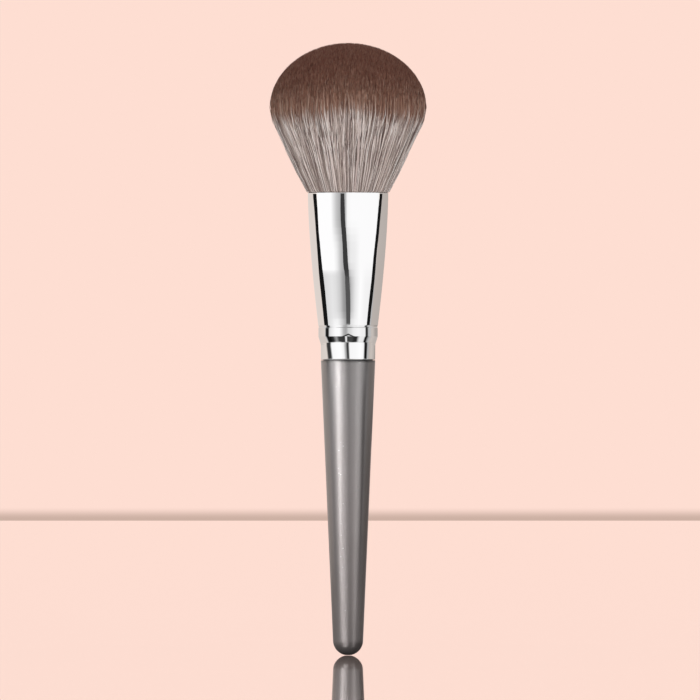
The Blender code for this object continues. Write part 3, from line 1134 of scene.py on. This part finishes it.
# Height in mm, then the compass angles of the left and the right edge
LEFT_STRIP = np.array(
    [(84, -101.5, -79.8), (92.6, -102.0, -80.5), (98, -102.2, -81.4), (103, -103.3, -82.2)]
    + [(108.4, -105.1, -84.2), (113.5, -105.9, -87.2), (118.6, -105.6, -89.1)]
    + [(123.8, -105.8, -90.7), (129, -106.5, -93.2), (134.5, -107.7, -93.7)]
    + [(140, -109.9, -94.4), (150, -116.5, -98.5)]
)
RIGHT_STRIP = np.array(
    [(84, 73.8, 89.2), (92, 75.2, 90.3), (97, 76.1, 90.9), (102.2, 78.1, 92.9)]
    + [(107.5, 80.6, 94.4), (112.7, 81.8, 95.5), (117.8, 82.9, 95.8), (123.2, 85.6, 97.6)]
    + [(128.7, 88.3, 100.6), (134.2, 90.6, 102.9), (140, 93.3, 106.2), (150, 99.3, 112.2)]
)
MIDDLE_STRIP = np.array(
    [(84, -6.2, 8.0), (91.4, -6.9, 8.0), (96.8, -7.8, 7.1), (102.2, -9.2, 4.6)]
    + [(105, -9.0, 3.2), (107.7, -12.1, 2.2), (110.5, -14.4, 0.0), (113.3, -14.9, -0.9)]
    + [(119, -15.7, -2.9), (124.8, -17.8, -5.0), (130.9, -20.2, -8.0)]
    + [(137.4, -20.7, -8.9), (150, -20.0, -10.5)]
)
LEFT_LOW = np.array([(16, -90.0, -70.0), (81, -92.0, -72.0)])
RIGHT_LOW = np.array([(16, 70.0, 86.0), (81, 64.0, 86.0)])


def strip_finish(name, level, worn_below=None):
    """Dark cloth of one level, which may be a little greyer below a height."""
    finish = Finish(name)
    if worn_below:
        height = finish.split(finish.place())[2]
        sound = finish.step(height, worn_below - 3.0, worn_below + 3.0)
        level = finish.mix(sound, level + 0.05, level)
    return unsampled(finish.surface(finish.glow(level)))


black = strip_finish("black_cloth", 0.008)
for name, table, material in (
    ("strip_left", LEFT_STRIP, black),
    ("strip_right", RIGHT_STRIP, black),
    ("strip_middle", MIDDLE_STRIP, strip_finish("worn_cloth", 0.045, 105.0)),
    ("strip_low_left", LEFT_LOW, strip_finish("pale_cloth", 0.3)),
    ("strip_low_right", RIGHT_LOW, strip_finish("dim_cloth", 0.035)),
):
    strip = bent_wall(name, *table.T, STRIP_RADIUS, 4, material)
    hide(strip, "camera", "diffuse", "shadow", "transmission")

# %% [markdown]
# ### Cards round the bead and the band
#
# The bead shows no dark line down its middle, only a grey one, its lower edge is mostly
# dark, and the band's panels are whiter than those above. White cards with dark strips,
# bent close round them, give each a view of its own. The cards are clear from outside,
# so nothing else sees them. On a card this close, a look at the metal's front meets the
# card at nearly twice the look's own compass angle, which is how the stops were placed.
# Their sides are warm, like the tent's.

# %% Tables of the near cards
BEAD_CARD_RADIUS = 11.0
BAND_CARD_RADIUS = 10.4
BEAD_LEVELS = levels(
    [(-176, 205), (-87.8, 200), (-59.7, 208), (-56.7, 30), (-47.9, 25), (-45.2, 215)]
    + [(-37.8, 235), (-28.7, 252), (-19.1, 253), (-14.6, 225), (-10.1, 180), (-4.5, 160)]
    + [(-1.2, 190), (1, 210), (5.4, 215), (12.1, 236), (23.6, 245), (33.5, 238), (40, 240)]
    + [(42.8, 30), (47.3, 25), (50.8, 185), (65.9, 190), (80, 160), (176, 150)]
)
BAND_LEVELS = levels(
    [(-176, 200), (-103.3, 205), (-65, 212), (-59.7, 55), (-49.3, 50), (-46.6, 160)]
    + [(-44, 245), (-29.4, 252), (-18.8, 254), (-11.2, 240), (-8, 190), (-4.8, 150)]
    + [(-3.1, 60), (0.1, 50), (1.8, 150), (3.3, 245), (18.5, 248), (31.9, 254), (41.4, 244)]
    + [(44, 90), (46.3, 5), (49.7, 5), (52.2, 70), (54.8, 175), (72.8, 192), (90.8, 175)]
    + [(110.9, 140), (176, 140)]
)
CHAMFER_HIGH = levels(
    [(-176, 200), (-58.5, 200), (-54.5, 20), (-44.2, 15), (-35.7, 50), (-27.9, 155)]
    + [(-21.8, 65), (-8.9, 50), (-7.1, 90), (-5.5, 240), (-3.7, 240), (-1.7, 60), (7.7, 70)]
    + [(14.6, 40), (20.6, 40), (24.5, 190), (27.7, 235), (39, 230), (42.1, 12), (46.9, 12)]
    + [(51.4, 150), (55.2, 180), (67.3, 190), (85.3, 178), (176, 180)]
)
CHAMFER_LOW = levels(
    [(-176, 200), (-60.5, 200), (-52.8, 60), (-46, 90), (-36.9, 150), (-31.3, 225)]
    + [(-20.8, 215), (-15.8, 95), (-8.5, 100), (-5.1, 190), (1.1, 160), (8.3, 85)]
    + [(13.1, 65), (19.3, 120), (25.7, 215), (39.5, 215), (43.5, 15), (48.3, 15)]
    + [(53.9, 140), (59.2, 180), (176, 180)]
)
CREASE_LEVELS = levels(
    [(-176, 205), (-51.8, 205), (-48.5, 60), (-41, 60), (-38.5, 210), (-27.5, 245)]
    + [(-17, 205), (-8.9, 155), (4.8, 140), (12.7, 205), (29.5, 205), (36.5, 190)]
    + [(38.5, 50), (43.7, 55), (46.5, 185), (176, 185)]
)

# %% [markdown]
# A small dark arrow points up from the chamfer into the bead: an outline with a lighter
# middle. The chamfer's own pattern changes half way down it, and the band's dark ends
# draw together downwards.


# %% Near cards
CARD_PARTS = 72
CHAMFER_TOP = 101.75
CHAMFER_MIDDLE = 98.7


def round_look(finish, table, angle):
    """The colour of a table at a compass angle."""
    return warmed(finish, finish.ramp(share_round(angle), table), angle, 56.0)


def card_finish(name, look):
    """A glow on the inner side of a card, from a look that takes angle and height."""
    finish = Finish(name)
    glow = finish.glow(look(finish, *compass(finish)), TENT_LEVEL)
    return one_sided(finish, glow, back=True)


def bead_look(finish, angle, height):
    """The bead's table, with the arrow: a line along the two sides of a flat triangle."""
    aside = finish.maths("ABSOLUTE", angle - 0.5)
    inside = aside / 17.0 + (height - CHAMFER_TOP + 0.15) / 1.2
    arrow = (1 - finish.step(inside, 0.95, 1.15)) * finish.step(inside, 0.45, 0.75)
    return finish.mix(arrow, round_look(finish, BEAD_LEVELS, angle), linear(45))


def chamfer_look(finish, angle, height):
    """Two tables, one above the other."""
    high = round_look(finish, CHAMFER_HIGH, angle)
    low = round_look(finish, CHAMFER_LOW, angle)
    share = finish.step(height, CHAMFER_MIDDLE, CHAMFER_MIDDLE + 0.3)
    return finish.mix(share, low, high)


def band_look(finish, angle, height):
    """The band's table, drawn together downwards."""
    down = CHAMFER_MIDDLE - height
    return round_look(finish, BAND_LEVELS, (angle - 0.4 * down) * (1 + 0.016 * down))


def crease_look(finish, angle, height):
    """The crease's table."""
    return round_look(finish, CREASE_LEVELS, angle)


CREASE = BEAD_TOP + 0.03
cards = [
    bent_wall(name, heights, *WHOLE, radii, CARD_PARTS, card_finish(name, look))
    for name, heights, radii, look in (
        ("bead_card", [CHAMFER_TOP, BEAD_TOP], BEAD_CARD_RADIUS, bead_look),
        ("chamfer_card", [98.6, CHAMFER_TOP], BEAD_CARD_RADIUS, chamfer_look),
        ("band_card", [94.6, 99.0], BAND_CARD_RADIUS, band_look),
        ("crease_card", [CREASE, CREASE], [BEAD_CARD_RADIUS, 9.36], crease_look),
    )
]
for card in cards:
    hide(card, "camera", "diffuse", "shadow", "transmission")

# %% [markdown]
# ### Lamps on the lacquer
#
# Upright soft boxes light the handle alone, through Blender's light linking: a main one
# to the left of the camera with a narrow glint inside it, a weaker one below it for the
# foot, one further left for the handle's shoulder, one nearly in front and one to the
# right. They give the lacquer its broad streaks of light, and leave the chrome and the
# fibres to the tent. The sheet throws no shadow, so the boxes may reach below it, as
# their mirror images in a real sheet would.


# %% Lamps
LAMP_DISTANCE = 0.34


def area_lamp(name, place, turn, size, power, pieces):
    """A lamp that the camera doesn't see and that lights only the given pieces."""
    lamp = bpy.data.lights.new(name, "AREA")
    lamp.shape = "RECTANGLE"
    lamp.size, lamp.size_y = size
    lamp.energy = power
    lamp.cycles.use_multiple_importance_sampling = False
    holder = add_object(name, lamp)
    holder.location, holder.rotation_euler = place, turn
    holder.light_linking.receiver_collection = pieces
    holder.visible_camera = False
    print("lamp", name, "gives", power, "W")


def lit_group(name, pieces):
    """A collection of the pieces that some lamps light."""
    group = bpy.data.collections.new(name)
    for piece in pieces:
        group.objects.link(piece)
    return group


def soft_box(name, angle, width, low, high, power, lean=0.0):
    """An upright lamp at a compass angle, between two heights, aimed at the axis.

    It may lean, with its lower end nearer to the camera.
    """
    turn = math.radians(angle)
    side, front = LAMP_DISTANCE * math.sin(turn), -LAMP_DISTANCE * math.cos(turn)
    upright = mathutils.Euler((math.radians(90), 0, turn)).to_matrix()
    leant = upright @ mathutils.Matrix.Rotation(math.radians(lean), 3, "Z")
    place = (side, front, (low + high) / 2)
    area_lamp(name, place, leant.to_euler(), (width, high - low), power, lit)


lit = lit_group("lit_by_the_boxes", [handle])
soft_box("main_box", -48.5, 0.17, 0.0, 0.3, 0.5, 25)
soft_box("foot_box", -33, 0.16, -0.4, 0.0, 0.225)
soft_box("glint_box", -48.5, 0.02, 0.01, 0.3, 0.06, 25)
soft_box("shoulder_box", -76, 0.14, 0.05, 0.3, 0.072)
soft_box("middle_box", -16, 0.14, -0.4, 0.3, 0.24)
soft_box("weak_box", 46, 0.14, -0.4, 0.3, 0.17)

# %% [markdown]
# Two square lamps light the fibres alone, aimed at the widest part of the head. One
# stands level with the brush. The other shines up from below the sheet, as light thrown
# back by a pale table would, and that light meets the middle of the widening head
# squarely and its sides less and less.

# %% Lamps on the fibres
HEAD_MIDDLE = mathutils.Vector((0, 0, 0.165))
lit_head = lit_group("lit_by_the_head_boxes", head)
for name, place, power in (
    ("level_head_box", mathutils.Vector((0.03, -0.55, 0.06)), 0.65),
    ("low_head_box", mathutils.Vector((0.03, -0.38, -0.29)), 0.5),
):
    turn = (HEAD_MIDDLE - place).to_track_quat("-Z", "Y").to_euler()
    area_lamp(name, place, turn, (0.12, 0.12), power, lit_head)

# %% [markdown]
# ### Sky
#
# Above and behind the tent the world is a pale grey for light, and peach for the eye and
# for mirrors.

# %% World
world = bpy.data.worlds.new("studio_air")
world.use_nodes = True
bpy.context.scene.world = world


class Air(Finish):
    """The same node helpers, on the world's tree."""

    def __init__(self, owner):
        self.tree = owner.node_tree
        self.tree.nodes.clear()
        self.end = self.tree.nodes.new("ShaderNodeOutputWorld")


air = Air(world)
camera_ray = air.node("ShaderNodeLightPath", output="Is Camera Ray")
mirrored = air.node("ShaderNodeLightPath", output="Is Glossy Ray")
sky = air.mix(camera_ray + mirrored, (0.62, 0.6, 0.59), PEACH)
glow = air.node("ShaderNodeBackground", None, {"Color": sky})
air.tree.links.new(glow.socket, air.end.inputs["Surface"])
print("world", world.name, "has", len(air.tree.nodes), "nodes")

# %% [markdown]
# ## Camera
#
# A long lens a good way off, a little above the middle of the handle and looking level,
# so the brush stands upright and the sheet is seen almost edge-on.

# %% Camera
lens = bpy.data.cameras.new("portrait")
lens.lens, lens.sensor_width = 400, 36
lens.clip_start, lens.clip_end = 0.05, 20
camera = add_object("portrait", lens)
camera.location = (0.00062, -2.489, 0.0976)
camera.rotation_euler = (math.radians(90), 0, 0)
bpy.context.scene.camera = camera
bpy.context.scene.view_settings.view_transform = "Standard"
print("camera at, m:", tuple(round(part, 3) for part in camera.location))
